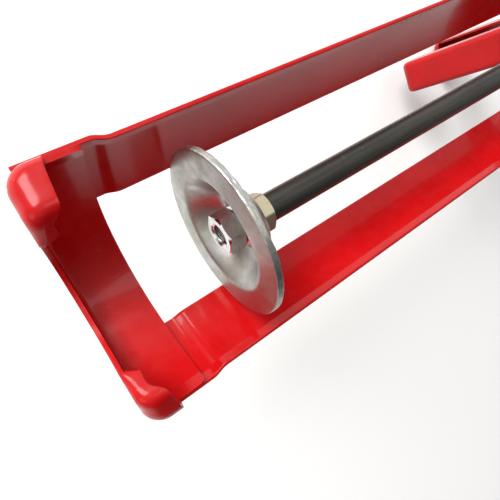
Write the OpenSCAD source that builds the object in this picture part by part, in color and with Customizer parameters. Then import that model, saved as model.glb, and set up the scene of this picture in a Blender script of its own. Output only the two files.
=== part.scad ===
// Skeleton caulking gun. X runs along the push rod towards the user, Y to the user's right, Z up.
// The origin is on the rod's axis, at the inner face of the front wall, where a cartridge seats.

/* [Cradle] */
// Inner radius of the cradle, which fits the cartridge
cradle_r = 25; // [24:0.5:30]
// Length of the bay from the front wall to the rear cup
bay_len = 230; // [200:5:260]
// Thickness of the cradle's sheet steel
sheet_t = 1.2; // [1:0.1:1.5]
// Width of each rail, from its lower edge to its rim
rail_w = 21.5; // [19:0.5:24]
// Radius of the wide notch in the front wall, for the nozzle
notch_r = 16.5; // [12:0.5:18]
// Depth of the front cap's band behind the front wall
cap_depth = 15.4; // [12:0.2:17]

/* [Push rod] */
// Diameter of the push rod
rod_d = 8; // [7:0.5:9]
// Straight length of the rod behind its thread
rod_len = 305; // [290:5:330]
// Length of the hook at the rod's rear end
hook_len = 22; // [15:1:30]
// Diameter of the push plate
plate_d = 46; // [40:1:48]
// Depth of the push plate's dish
dish_depth = 8; // [5:0.5:9]
// Distance of the push plate's rim from the front wall at rest
plate_x = 35; // [32:1:60]

/* [Handle] */
// Width of the handle body over its side walls
body_w = 24; // [22:1:28]
// Width of the trigger over its side walls
trigger_w = 19.6; // [17:0.2:20]
// Angle of the brake lever behind the vertical at rest
brake_tilt = 8; // [4:1:10]

/* [Hidden] */
$fn = 64;
eps = 0.01;
// Gap between two sheets that lie on each other
lap_gap = 0.05;
// Radial clearance of a pin or rod in its hole
running_gap = 0.05;

// Cradle profile: heading where the round bottom ends, then the flatter side up to the rim
side_heading = 38;
rim_heading = 67;
side_r = 50;
rim_len = 0.6;
side_c = (cradle_r - side_r) * along(side_heading - 90);
rail_low_heading = rim_heading - (rail_w - rim_len) / side_r * 180 / PI;
cap_rim_len = 2;
jog = sheet_t + lap_gap;
jog_front = 17.8;
jog_len = 4.2;
rail_front = 1.5;

// Ears of the front wall, as points to the right of the axis, in Y and Z
ear_tip = [31.6, 3.9];
ear_peak = [23.4, 7.9];
ear_valley = [20.7, 6.1];
ear_bump = [18.6, 4];
ear_roof_len = 6;
wall_t = 1.3;

// Rear cup, and the bush that clamps it to the handle body
cup_skirt = 13;
cup_t = 1.5;
bush_flange_r = 11;
bush_flange_t = 4;
bush_r = 7.9;
collar_nut_t = 5.2;
collar_nut_af = 20;
rivet_r = 1.95;
rivet_head_r = 3.4;
rivet_head_t = 1.2;
rivet_seat = 0.3;
cup_rivet_x = bay_len - 7;
cup_rivet_headings = [49, 61];
cup_top = 17;

// Push rod, its thread and nuts
rod_r = rod_d / 2;
thread_r = 3;
nut_af = 10;
nut_t = 5;
jam_nut_af = 11;
jam_nut_t = 2.9;
plate_t = 1.6;
plate_r = plate_d / 2;
dish_outer_r = 16;
dish_floor_r = 8.4;
floor_x = plate_x + dish_depth;
jam_nut_x = floor_x - lap_gap - jam_nut_t;
front_nut_x = jam_nut_x - lap_gap - nut_t;
rear_nut_x = floor_x + plate_t + lap_gap;
rod_x = rear_nut_x + nut_t + lap_gap;
hook_bend_r = 10;

// Handle body, as a side outline of X, Z and corner radius
body_t = 1.2;
body_x = bay_len + cup_t + lap_gap;
body_in = body_w / 2 - body_t;
body_outline = [
    [body_x, 15, 4], [288.5, 16, 4], [291, 4, 3], [303, 1, 6], [301.5, -20, 9], [313, -62, 60],
    [327, -120, 9], [301, -128, 8], [292, -72, 60], [281, -39, 9], [256, -37, 7], [body_x, -20, 5],
];
// Open side of the body: below the trigger and in front of the grip
body_mouth = [
    [body_x + 8, -40, 2], [body_x + 8, -15, 4], [262, -16, 3], [293, -30, 5], [303, -70, 60],
    [311, -122, 4], [290, -122, 2], [270, -60, 10],
];
// Window at the rear for the rod and the brake lever
rear_window = [[289.2, -16], [310, -16], [310, 30], [289.2, 30]];

// Rear guide plate and its rivets
guide_x = 285.5;
guide_t = 2;
guide_ear = 10;
guide_rivet_x = 280.5;
guide_rivet_z = [-12, 9];
guide_rivet_r = 1.6;

// Trigger, as a side outline, with its pin
trigger_pivot = [270, -26];
trigger_t = 1.4;
trigger_pin_r = 2.5;
tang_x = 265.2;
trigger_outline = [
    [tang_x, -8, 1.5], [274, -8, 3], [278, -27, 6], [275, -42, 14], [266, -76, 50],
    [263, -107, 7], [255, -114, 5], [244, -108, 7], [250, -76, 50], [257, -42, 14], [262, -27, 4],
    [tang_x, -17, 2],
];
// Hollow behind the trigger's front wall, open at the top and the rear
trigger_hollow = [
    [258.6, -2, 1], [290, -2, 1], [290, -104, 1], [268, -104, 1], [262, -106, 5], [249, -104.5, 5],
    [251.6, -76, 50], [258.6, -42, 14],
];

// Drive plates and the main spring
drive_plate_t = 3;
drive_plate_w = 19;
drive_plate_top = 12;
drive_plate_low = -14;
drive_hole_r = rod_r + 0.4;
drive_rear_x = tang_x - 0.1 - drive_plate_t;
drive_front_x = drive_rear_x - drive_plate_t - 0.1;
spring_seat_x = body_x + body_t + collar_nut_t + 0.2;
spring_wire_r = 0.65;
spring_r = 7;
spring_turns = 6;

// Brake lever, in its own upright place about its pivot, and its spring
brake_pivot = [296, -13];
brake_pin_r = 1.75;
brake_barrel_r = 3.6;
brake_t = 3;
brake_w = 18;
brake_hole_r = rod_r + 0.75;
brake_outline = [
    [-brake_t / 2, -2, 0.5], [brake_t / 2, -2, 0.5], [brake_t / 2, 28, 4], [15, 38, 0.8], [13.2, 40.3, 0.8],
    [-brake_t / 2, 30, 7],
];
brake_spring_x = guide_x + guide_t + 0.1;
brake_spring_len = 7.2;
brake_spring_r = 6.2;
brake_spring_wire_r = 0.5;
brake_spring_turns = 3;

zinc = [0.78, 0.79, 0.80];
yellow_zinc = [0.72, 0.66, 0.48];
red = [0.76, 0.02, 0.04];
black = [0.06, 0.06, 0.05];

// ---- plane geometry ----

function along(heading) = [cos(heading), sin(heading)];
function left_of(heading) = [-sin(heading), cos(heading)];
function unit(v) = v / norm(v);
function xy(p) = [p[0], p[1]];
function reversed(list) = [for (i = [len(list) - 1:-1:0]) list[i]];
function mirrored(list) = [for (p = reversed(list)) [-p[0], p[1]]];
function last_of(list) = list[len(list) - 1];
function smooth(u) = u * u * (3 - 2 * u);

// Arc round b, tangent to the lines from b to a and from b to c
function corner(a, b, c, r, steps = 8) =
    let (u = unit(a - b), v = unit(c - b), half = acos(u * v) / 2)
    let (centre = b + unit(u + v) * r / sin(half))
    let (p = b + u * r / tan(half) - centre, q = b + v * r / tan(half) - centre)
    let (start = atan2(p[1], p[0]), turn = atan2(q[1], q[0]) - start)
    let (sweep = turn > 180 ? turn - 360 : turn < -180 ? turn + 360 : turn)
    [for (i = [0:steps]) centre + r * along(start + sweep * i / steps)];

// Outline with a radius at each corner, from a list of [x, y, radius]
function rounded(pts) =
    let (n = len(pts))
    [for (i = [0:n - 1])
        each corner(xy(pts[(i + n - 1) % n]), xy(pts[i]), xy(pts[(i + 1) % n]), pts[i][2])];

// Right-hand profile of the cradle from a heading on its side up to its rim, moved outwards by off
function side_path(off, low, lip) =
    concat(
        [for (i = [0:14]) side_c - (side_r + off) * left_of(low + (rim_heading - low) * i / 14)],
        [side_c - (side_r + off) * left_of(rim_heading) + lip * along(rim_heading)]
    );

function rail_path(off) = side_path(off, rail_low_heading, rim_len);
function rail_section(off) = concat(rail_path(off), reversed(rail_path(off + sheet_t)));

// Whole profile, from the left rim round the bottom to the right rim
function cradle_side(off, lip) =
    concat(
        [for (i = [0:11]) (cradle_r + off) * along(side_heading * i / 12 - 90)],
        side_path(off, side_heading, lip)
    );
function cradle_path(off, lip) = concat(mirrored(cradle_side(off, lip)), cradle_side(off, lip));
function cap_path(off) = cradle_path(off, cap_rim_len);

// Outline of the front wall's right half above the rim, down to the notch
function ear_path() = [ear_tip, ear_peak, ear_valley, ear_bump];

// Helix of round wire along X, as rings of points, with closed flat ends
function helix_ring(x, angle, r, wire_r, pitch, sides) =
    let (radial = [0, cos(angle), sin(angle)])
    let (tangent = unit([pitch / (2 * PI), -r * sin(angle), r * cos(angle)]))
    let (side = cross(tangent, radial))
    [for (k = [0:sides - 1])
        [x, 0, 0] + radial * (r + wire_r * cos(360 * k / sides)) + side * wire_r * sin(360 * k / sides)];

// ---- shared solids ----

// Y and Z outline, swept along X from x0
module along_x(x0, length) {
    translate([x0, 0, 0]) rotate([90, 0, 90]) linear_extrude(length) children();
}

// X and Z outline, made symmetric about the middle plane
module across_y(width) {
    rotate([90, 0, 0]) translate([0, 0, -width / 2]) linear_extrude(width) children();
}

// Rod or bore along X
module rod_x(x0, length, r) {
    translate([x0, 0, 0]) rotate([0, 90, 0]) cylinder(h = length, r = r);
}

// Rod or bore along Y, centred on the middle plane
module rod_y(at, length, r) {
    translate([at[0], 0, at[1]]) rotate([90, 0, 0]) cylinder(h = length, r = r, center = true);
}

// Solid through rings of points that share one count, closed at both ends
module loft(rings) {
    n = len(rings[0]);
    last = len(rings) - 1;
    polyhedron(
        points = [for (ring = rings) each ring],
        faces = concat(
            [[for (k = [0:n - 1]) k]],
            [[for (k = [n - 1:-1:0]) last * n + k]],
            [for (i = [0:last - 1], k = [0:n - 1])
                [i * n + k, (i + 1) * n + k, (i + 1) * n + (k + 1) % n, i * n + (k + 1) % n]]
        ),
        convexity = 10
    );
}

// Hexagon nut along X with chamfered corners
module hex_nut(x0, thickness, across_flats, bore_r, turn = 0) {
    corner_r = across_flats / sqrt(3);
    chamfer = corner_r - across_flats / 2 + 0.15;
    flat_h = chamfer * 0.6;
    translate([x0, 0, 0]) rotate([turn, 0, 0]) rotate([0, 90, 0]) difference() {
        intersection() {
            cylinder(h = thickness, r = corner_r, $fn = 6);
            rotate_extrude() polygon([
                [0, 0], [corner_r - chamfer, 0], [corner_r + eps, flat_h],
                [corner_r + eps, thickness - flat_h], [corner_r - chamfer, thickness], [0, thickness],
            ]);
        }
        translate([0, 0, -1]) cylinder(h = thickness + 2, r = bore_r);
    }
}

// Coil spring along X
module coil(x0, length, r, wire_r, turns, sides = 6, steps = 18) {
    pitch = (length - 2 * wire_r) / turns;
    loft([for (i = [0:turns * steps])
        helix_ring(x0 + wire_r + pitch * i / steps, 360 * i / steps, r, wire_r, pitch, sides)]);
}

// Rivet along Z with its shank from z0 to z1 and a low head at each end
module rivet(z0, z1, shank_r, head_r, head_t) {
    rotate_extrude() polygon([
        [0, z0 - head_t], [head_r * 0.6, z0 - head_t], [head_r, z0 - lap_gap], [shank_r, z0 - lap_gap],
        [shank_r, z1 + lap_gap], [head_r, z1 + lap_gap], [head_r * 0.6, z1 + head_t], [0, z1 + head_t],
    ]);
}

// Places a child that points along Z so that it points outwards through a rail, at each cup rivet
module at_cup_rivets(side) {
    for (heading = cup_rivet_headings)
        mirror([0, side < 0 ? 1 : 0, 0])
            translate([cup_rivet_x, side_c[0], side_c[1]])
                rotate([heading - 90, 0, 0]) rotate([-90, 0, 0]) children();
}

// ---- cradle ----

module front_cap() {
    color(red) {
        along_x(-eps, cap_depth + eps) polygon(concat(cap_path(0), reversed(cap_path(sheet_t))));
        difference() {
            along_x(-wall_t, wall_t)
                polygon(concat(ear_path_left(), cap_path(sheet_t), ear_path()));
            rod_x(-wall_t - 1, wall_t + 2, notch_r);
            along_x(-wall_t - 1, wall_t + 2) polygon([
                [-notch_r, 0], [notch_r, 0], ear_bump - [0.6, 0], ear_bump + [0, 20],
                [-ear_bump[0], ear_bump[1] + 20], [-ear_bump[0] + 0.6, ear_bump[1]],
            ]);
        }
        for (side = [0, 1]) mirror([0, side, 0]) ear_roof();
    }
}

function ear_path_left() = mirrored(ear_path());

// Roof over one ear, bent back from the front wall's upper edge
module ear_roof() {
    rim = last_of(cradle_side(sheet_t, cap_rim_len));
    in_rim = last_of(cradle_side(0, cap_rim_len));
    along_x(-eps, ear_roof_len) polygon([
        rim, ear_tip, ear_peak, ear_valley, ear_valley + [1.2, -0.4], ear_peak - [-0.3, 1.3],
        ear_tip - [1.1, 0.7], in_rim,
    ]);
}

module rail(side) {
    front_rings = [[rail_front, jog], [jog_front, jog]];
    jog_rings = [for (i = [1:5]) [jog_front + jog_len * i / 6, jog * (1 - smooth(i / 6))]];
    rear_rings = [[jog_front + jog_len, 0], [bay_len - lap_gap, 0]];
    color(red) difference() {
        mirror([0, side < 0 ? 1 : 0, 0])
            loft([for (station = concat(front_rings, jog_rings, rear_rings))
                [for (p = rail_section(station[1])) [station[0], p[0], p[1]]]]);
        at_cup_rivets(side) translate([0, 0, side_r - 4]) cylinder(h = 10, r = rivet_r + lap_gap);
    }
}

module rail_left() rail(-1);
module rail_right() rail(1);

// Top edge of the rear cup, as an arc from the right rim over the bush to the left rim
function cup_top_path(rim) =
    let (centre_z = (cup_top * cup_top - rim * rim) / (2 * (cup_top - rim[1])))
    let (start = atan2(rim[1] - centre_z, rim[0]))
    [for (i = [1:19]) [0, centre_z] + (cup_top - centre_z) * along(start + (180 - 2 * start) * i / 20)];

module rear_cup() {
    skirt_in = sheet_t + lap_gap;
    outside = cradle_path(skirt_in + cup_t, 0);
    color(red) difference() {
        union() {
            along_x(bay_len, cup_t) polygon(concat(outside, cup_top_path(last_of(outside))));
            along_x(bay_len - cup_skirt, cup_skirt + eps)
                polygon(concat(outside, reversed(cradle_path(skirt_in, 0))));
        }
        rod_x(bay_len - 1, cup_t + 2, bush_r + lap_gap);
        for (side = [-1, 1])
            at_cup_rivets(side) translate([0, 0, side_r]) cylinder(h = 10, r = rivet_r + lap_gap);
    }
}

module frame_rivets() {
    color(zinc) for (side = [-1, 1])
        at_cup_rivets(side)
            rivet(side_r - rivet_seat, side_r + sheet_t + cup_t + rivet_seat, rivet_r, rivet_head_r,
                rivet_head_t);
}

module collar_bush() {
    color(zinc) difference() {
        union() {
            rod_x(bay_len - bush_flange_t - lap_gap, bush_flange_t, bush_flange_r);
            rod_x(bay_len - bush_flange_t, bush_flange_t + cup_t + body_t + collar_nut_t, bush_r);
        }
        rod_x(bay_len - bush_flange_t - 1, 20, rod_r + running_gap);
    }
}

module collar_nut() {
    color(zinc) hex_nut(body_x + body_t + lap_gap, collar_nut_t - 0.2, collar_nut_af, bush_r + lap_gap);
}

// ---- handle body ----

module handle_body() {
    color(red) difference() {
        across_y(body_w) polygon(rounded(body_outline));
        across_y(2 * body_in) {
            offset(delta = -body_t) polygon(rounded(body_outline));
            polygon(rounded(body_mouth));
            polygon(rear_window);
        }
        rod_x(body_x - 1, body_t + 2, bush_r + lap_gap);
        rod_y(trigger_pivot, body_w + 2, trigger_pin_r + 0.02);
        rod_y(brake_pivot, body_w + 2, brake_pin_r + 0.02);
        for (z = guide_rivet_z) rod_y([guide_rivet_x, z], body_w + 2, guide_rivet_r + 0.02);
    }
}

module rear_guide() {
    ear_in = body_in - lap_gap - guide_t * 0.75;
    guide_low = -17;
    guide_top = 12;
    color(zinc) difference() {
        translate([guide_x - guide_ear + guide_t, -body_in + lap_gap, guide_low])
            cube([guide_ear, 2 * (body_in - lap_gap), guide_top - guide_low]);
        translate([guide_x - guide_ear + guide_t - 1, -ear_in, guide_low - 1])
            cube([guide_ear - guide_t + 1, 2 * ear_in, guide_top - guide_low + 2]);
        rod_x(guide_x - 1, guide_t + 2, rod_r + running_gap);
        for (z = guide_rivet_z) rod_y([guide_rivet_x, z], body_w + 2, guide_rivet_r + 0.02);
    }
}

module guide_rivets() {
    color(zinc) for (side = [0, 1], z = guide_rivet_z)
        mirror([0, side, 0]) translate([guide_rivet_x, 0, z]) rotate([-90, 0, 0])
            rivet(body_in - lap_gap - guide_t * 0.75, body_w / 2, guide_rivet_r, 3, 0.9);
}

module trigger_pin() {
    head_t = 1.4;
    color(zinc) {
        rod_y(trigger_pivot, body_w + 0.2, trigger_pin_r);
        for (side = [-1, 1])
            translate([0, side * (body_w / 2 + head_t / 2 + lap_gap), 0])
                rod_y(trigger_pivot, head_t, side < 0 ? trigger_pin_r + 1.8 : trigger_pin_r - 0.6);
        translate([0, body_w / 2 + head_t + 0.5, 0]) rod_y(trigger_pivot, 1.2, trigger_pin_r);
    }
}

// Open retaining ring in the pin's groove
module trigger_clip() {
    clip_t = 0.9;
    color(zinc) difference() {
        translate([0, body_w / 2 + 0.75, 0]) rod_y(trigger_pivot, clip_t, trigger_pin_r + 2.2);
        translate([0, body_w / 2 + 0.75, 0]) rod_y(trigger_pivot, clip_t + 1, trigger_pin_r - 0.55);
        translate([trigger_pivot[0] - 1.2, body_w / 2, trigger_pivot[1] - 8]) cube([2.4, 2, 8]);
    }
}

module brake_pin() {
    color(zinc) translate([brake_pivot[0], 0, brake_pivot[1]]) rotate([90, 0, 0])
        rivet(-body_w / 2, body_w / 2, brake_pin_r, 3.2, 1);
}

// ---- springs ----

module main_spring() {
    color(zinc)
        coil(spring_seat_x, drive_front_x - 0.1 - spring_seat_x, spring_r, spring_wire_r, spring_turns);
}

module brake_spring() {
    color(zinc)
        coil(brake_spring_x, brake_spring_len, brake_spring_r, brake_spring_wire_r, brake_spring_turns);
}

// ---- trigger and drive ----

module trigger() {
    color(red) difference() {
        across_y(trigger_w) polygon(rounded(trigger_outline));
        across_y(trigger_w - 2 * trigger_t) polygon(rounded(trigger_hollow));
        rod_y(trigger_pivot, trigger_w + 2, trigger_pin_r + running_gap);
    }
}

module drive_plate(x0) {
    edge_r = 3;
    low = [drive_plate_w / 2, drive_plate_low];
    color(zinc) difference() {
        along_x(x0, drive_plate_t) polygon(rounded([
            [-low[0], low[1], edge_r], [low[0], low[1], edge_r],
            [low[0], drive_plate_top, edge_r], [-low[0], drive_plate_top, edge_r],
        ]));
        rod_x(x0 - 1, drive_plate_t + 2, drive_hole_r);
    }
}

module drive_plate_front() drive_plate(drive_front_x);
module drive_plate_rear() drive_plate(drive_rear_x);

module brake_lever() {
    rod_height = -brake_pivot[1];
    color(zinc) translate([brake_pivot[0], 0, brake_pivot[1]]) rotate([0, brake_tilt, 0]) difference() {
        union() {
            across_y(brake_w) polygon(rounded(brake_outline));
            rod_y([0, 0], brake_w, brake_barrel_r);
        }
        rod_y([0, 0], brake_w + 2, brake_pin_r + running_gap);
        translate([0, 0, rod_height]) rod_x(-brake_t, 2 * brake_t, brake_hole_r);
    }
}

// ---- push rod ----

module push_rod() {
    bend_x = rod_x + rod_len;
    color(black) {
        rod_x(front_nut_x + 1, rod_x - front_nut_x, thread_r - lap_gap);
        rod_x(rod_x, rod_len, rod_r);
        translate([bend_x, 0, -hook_bend_r]) rotate([90, 0, 0])
            rotate_extrude(angle = 90) translate([hook_bend_r, 0]) circle(r = rod_r);
        translate([bend_x + hook_bend_r, 0, -hook_bend_r - hook_len]) cylinder(h = hook_len, r = rod_r);
        translate([bend_x + hook_bend_r, 0, -hook_bend_r - hook_len]) sphere(r = rod_r);
    }
}

// Front face of the push plate, as X at each radius
function dish_x(r) = r > dish_outer_r ? plate_x
    : r < dish_floor_r ? floor_x
    : plate_x + (floor_x - plate_x) * smooth((dish_outer_r - r) / (dish_outer_r - dish_floor_r));

module push_plate() {
    hole_r = thread_r + lap_gap;
    steps = 12;
    radii = concat(
        [hole_r], [for (i = [0:steps]) dish_floor_r + (dish_outer_r - dish_floor_r) * i / steps], [plate_r]);
    color(zinc) rotate([0, 90, 0]) rotate_extrude() polygon(concat(
        [for (r = radii) [r, dish_x(r)]],
        [for (r = reversed(radii)) [r, dish_x(r) + plate_t]]
    ));
}

module front_nut() color(zinc) hex_nut(front_nut_x, nut_t, nut_af, thread_r + lap_gap, 8);
module jam_nut() color(zinc) hex_nut(jam_nut_x, jam_nut_t, jam_nut_af, thread_r + lap_gap, 24);
module rear_nut() color(yellow_zinc) hex_nut(rear_nut_x, nut_t, nut_af, thread_r + lap_gap, 2);

front_cap();
rail_left();
rail_right();
rear_cup();
frame_rivets();
collar_bush();
collar_nut();
handle_body();
rear_guide();
guide_rivets();
trigger_pin();
trigger_clip();
brake_pin();
main_spring();
brake_spring();
trigger();
drive_plate_front();
drive_plate_rear();
brake_lever();
push_rod();
push_plate();
front_nut();
jam_nut();
rear_nut();
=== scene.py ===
"""Looks of a skeleton caulking gun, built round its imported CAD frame.

Lengths in the classes below are in millimetres, as a maker states them, and become metres where a mesh is
made. X runs along the push rod towards the user, Y to the user's right, and Z out of the open cradle.
"""

import logging
import math
from collections.abc import Callable, Sequence
from dataclasses import dataclass, field
from enum import Enum

import bmesh
import bpy
from mathutils import Matrix, Vector, noise


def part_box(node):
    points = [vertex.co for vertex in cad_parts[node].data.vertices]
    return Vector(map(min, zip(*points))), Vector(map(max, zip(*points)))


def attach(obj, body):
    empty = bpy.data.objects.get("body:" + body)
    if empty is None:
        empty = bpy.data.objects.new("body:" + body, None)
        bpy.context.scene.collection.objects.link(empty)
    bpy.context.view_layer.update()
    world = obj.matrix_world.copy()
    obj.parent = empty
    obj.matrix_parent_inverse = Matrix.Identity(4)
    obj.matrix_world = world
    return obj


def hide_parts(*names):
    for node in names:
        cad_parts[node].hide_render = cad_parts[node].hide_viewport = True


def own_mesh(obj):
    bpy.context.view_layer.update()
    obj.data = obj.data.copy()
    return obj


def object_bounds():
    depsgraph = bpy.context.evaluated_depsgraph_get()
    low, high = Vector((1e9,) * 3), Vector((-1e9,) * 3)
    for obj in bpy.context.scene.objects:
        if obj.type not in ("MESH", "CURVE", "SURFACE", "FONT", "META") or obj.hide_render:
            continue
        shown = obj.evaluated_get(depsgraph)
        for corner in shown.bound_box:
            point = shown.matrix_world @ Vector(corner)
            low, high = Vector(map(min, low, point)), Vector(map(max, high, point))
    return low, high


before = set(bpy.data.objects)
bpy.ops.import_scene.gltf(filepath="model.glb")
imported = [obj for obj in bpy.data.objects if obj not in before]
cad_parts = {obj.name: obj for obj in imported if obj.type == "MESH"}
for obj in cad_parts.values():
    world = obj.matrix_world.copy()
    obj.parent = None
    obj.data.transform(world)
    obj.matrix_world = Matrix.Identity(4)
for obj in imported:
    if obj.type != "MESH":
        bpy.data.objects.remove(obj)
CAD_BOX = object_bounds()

log = logging.getLogger("caulking_gun")
MM = 0.001


class Slot(str, Enum):
    """Material slots of the record."""

    RED_PAINT = "red_paint"
    PLATE_ZINC = "plate_zinc"
    BRIGHT_ZINC = "bright_zinc"
    ZINC_PLATE = "zinc_plate"
    YELLOW_ZINC = "yellow_zinc"
    BLACK_ROD = "black_rod"
    SPRING_STEEL = "spring_steel"


class Body(str, Enum):
    """Bodies that the pieces ride on."""

    FRAME = "frame"
    ROD = "rod"
    DRIVE = "drive"
    TRIGGER = "trigger"
    BRAKE = "brake"


class Hand(Enum):
    """Side of the gun, as the sign of Y."""

    LEFT = -1
    RIGHT = 1


# ---- node trees ----


class NodeSheet:
    """Adds and links the nodes of one tree."""

    def __init__(self, tree: bpy.types.NodeTree) -> None:
        """Works on one tree.

        Args:
            tree: The shader or geometry node tree to fill.
        """
        self.tree = tree

    def add(self, kind: str, inputs: dict | None = None, **settings: object) -> bpy.types.Node:
        """Adds a node.

        Args:
            kind: The node's type name.
            inputs: Values or sockets, keyed by an input's name or index.
            **settings: Properties of the node itself.

        Returns:
            The new node.
        """
        node = self.tree.nodes.new(kind)
        for key, value in settings.items():
            setattr(node, key, value)
        for key, value in (inputs or {}).items():
            if isinstance(value, bpy.types.NodeSocket):
                self.tree.links.new(value, node.inputs[key])
            else:
                node.inputs[key].default_value = value
        return node

    def math(self, operation: str, *values: object) -> bpy.types.NodeSocket:
        """Adds a Math node and returns its result.

        Args:
            operation: The operation's name.
            *values: Numbers or sockets, in the order of its inputs.

        Returns:
            The result's socket.
        """
        return self.add("ShaderNodeMath", dict(enumerate(values)), operation=operation).outputs[0]

    def vector(self, operation: str, *values: object) -> bpy.types.Node:
        """Adds a Vector Math node.

        Args:
            operation: The operation's name.
            *values: Vectors or sockets, in the order of its inputs.

        Returns:
            The node, whose output depends on the operation.
        """
        return self.add("ShaderNodeVectorMath", dict(enumerate(values)), operation=operation)

    def mix(self, factor: object, low: object, high: object) -> bpy.types.NodeSocket:
        """Mixes two colours.

        Args:
            factor: Share of the second colour.
            low: First colour or socket.
            high: Second colour or socket.

        Returns:
            The mixed colour's socket.
        """
        return self.add("ShaderNodeMix", {0: factor, 6: low, 7: high}, data_type="RGBA").outputs[2]

    def ramp(
        self, value: object, low: object, high: object, to_low: float = 0.0, to_high: float = 1.0
    ) -> bpy.types.NodeSocket:
        """Maps a value smoothly from one range to another.

        Args:
            value: Socket to map.
            low: Value that gives to_low.
            high: Value that gives to_high.
            to_low: Result at and below low.
            to_high: Result at and above high.

        Returns:
            The result's socket.
        """
        spans = {0: value, 1: low, 2: high, 3: to_low, 4: to_high}
        return self.add("ShaderNodeMapRange", spans, interpolation_type="SMOOTHSTEP").outputs[0]


def new_group(
    name: str, inputs: Sequence[tuple[str, str, object]], outputs: Sequence[tuple[str, str]]
) -> tuple[NodeSheet, bpy.types.Node, bpy.types.Node]:
    """Makes a shader node group with named sockets.

    Args:
        name: The group's name.
        inputs: Name, socket type and default of each input.
        outputs: Name and socket type of each output.

    Returns:
        The sheet to fill, its input node and its output node.
    """
    tree = bpy.data.node_groups.new(name, "ShaderNodeTree")
    for label, kind, default in inputs:
        tree.interface.new_socket(name=label, in_out="INPUT", socket_type=kind).default_value = default
    for label, kind in outputs:
        tree.interface.new_socket(name=label, in_out="OUTPUT", socket_type=kind)
    sheet = NodeSheet(tree)
    return sheet, sheet.add("NodeGroupInput"), sheet.add("NodeGroupOutput")


class SurfaceEffects:
    """Shader groups that more than one finish uses, each built once."""

    FLOAT = "NodeSocketFloat"
    VECTOR = "NodeSocketVector"

    def __init__(self) -> None:
        """Builds the groups."""
        self.grain = self._grain()
        self.mottle = self._mottle()
        self.wear = self._edge_wear()
        self.dust = self._dust()

    def _grain(self) -> bpy.types.NodeTree:
        """Fine marks along one direction, such as drawing lines, rolling lines or a coat's ripple."""
        sheet, source, result = new_group(
            "directional grain",
            [("Density", self.VECTOR, (900.0, 900.0, 900.0)), ("Detail", self.FLOAT, 4.0)],
            [("Tone", self.FLOAT), ("Height", self.FLOAT)],
        )
        place = sheet.add("ShaderNodeTexCoord").outputs["Object"]
        stretched = sheet.vector("MULTIPLY", place, source.outputs["Density"]).outputs[0]
        marks = sheet.add(
            "ShaderNodeTexNoise",
            {"Vector": stretched, "Scale": 1.0, "Detail": source.outputs["Detail"], "Roughness": 0.6},
        )
        tone = sheet.ramp(marks.outputs[0], 0.3, 0.7)
        sheet.tree.links.new(tone, result.inputs["Tone"])
        sheet.tree.links.new(marks.outputs[0], result.inputs["Height"])
        return sheet.tree

    def _mottle(self) -> bpy.types.NodeTree:
        """Soft cloudy patches of two sizes, for colour and gloss that vary over a plated or painted face."""
        sheet, source, result = new_group(
            "cloudy mottle",
            [("Patch Density", self.FLOAT, 90.0), ("Sharpness", self.FLOAT, 0.5)],
            [("Patches", self.FLOAT), ("Specks", self.FLOAT)],
        )
        place = sheet.add("ShaderNodeTexCoord").outputs["Object"]
        density = source.outputs["Patch Density"]
        clouds = sheet.add("ShaderNodeTexNoise", {"Vector": place, "Scale": density, "Detail": 3.0})
        fine_density = sheet.math("MULTIPLY", density, 9.0)
        specks = sheet.add("ShaderNodeTexNoise", {"Vector": place, "Scale": fine_density, "Detail": 2.0})
        half_width = sheet.math("MULTIPLY_ADD", source.outputs["Sharpness"], -0.22, 0.25)
        low = sheet.math("SUBTRACT", 0.5, half_width)
        high = sheet.math("ADD", 0.5, half_width)
        sheet.tree.links.new(sheet.ramp(clouds.outputs[0], low, high), result.inputs["Patches"])
        sheet.tree.links.new(sheet.ramp(specks.outputs[0], 0.62, 0.74), result.inputs["Specks"])
        return sheet.tree

    def _edge_wear(self) -> bpy.types.NodeTree:
        """Mask of convex edges, broken up as handling wears them."""
        sheet, source, result = new_group(
            "edge wear",
            [
                ("Edge Radius", self.FLOAT, 0.0004), ("Amount", self.FLOAT, 0.5),
                ("Breakup", self.FLOAT, 700.0),
            ],
            [("Mask", self.FLOAT)],
        )
        rounded_normal = sheet.add("ShaderNodeBevel", {"Radius": source.outputs["Edge Radius"]}, samples=4)
        flat_normal = sheet.add("ShaderNodeNewGeometry").outputs["Normal"]
        agreement = sheet.vector("DOT_PRODUCT", rounded_normal.outputs[0], flat_normal).outputs["Value"]
        edge = sheet.ramp(agreement, 0.99, 0.86)
        place = sheet.add("ShaderNodeTexCoord").outputs["Object"]
        chips = sheet.add(
            "ShaderNodeTexNoise", {"Vector": place, "Scale": source.outputs["Breakup"], "Detail": 5.0})
        kept = sheet.ramp(chips.outputs[0], 0.42, 0.62)
        mask = sheet.math("MULTIPLY", sheet.math("MULTIPLY", edge, kept), source.outputs["Amount"])
        sheet.tree.links.new(mask, result.inputs["Mask"])
        return sheet.tree

    def _dust(self) -> bpy.types.NodeTree:
        """Mask of dust that settles on faces that look upwards."""
        sheet, source, result = new_group(
            "settled dust",
            [("Amount", self.FLOAT, 0.1), ("Density", self.FLOAT, 220.0)],
            [("Mask", self.FLOAT)],
        )
        normal = sheet.add("ShaderNodeNewGeometry").outputs["Normal"]
        upward = sheet.ramp(sheet.add("ShaderNodeSeparateXYZ", {0: normal}).outputs["Z"], 0.2, 0.9)
        place = sheet.add("ShaderNodeTexCoord").outputs["Object"]
        film = sheet.add(
            "ShaderNodeTexNoise", {"Vector": place, "Scale": source.outputs["Density"], "Detail": 6.0})
        patchy = sheet.ramp(film.outputs[0], 0.35, 0.75)
        mask = sheet.math("MULTIPLY", sheet.math("MULTIPLY", upward, patchy), source.outputs["Amount"])
        sheet.tree.links.new(mask, result.inputs["Mask"])
        return sheet.tree


# ---- finishes ----


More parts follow.
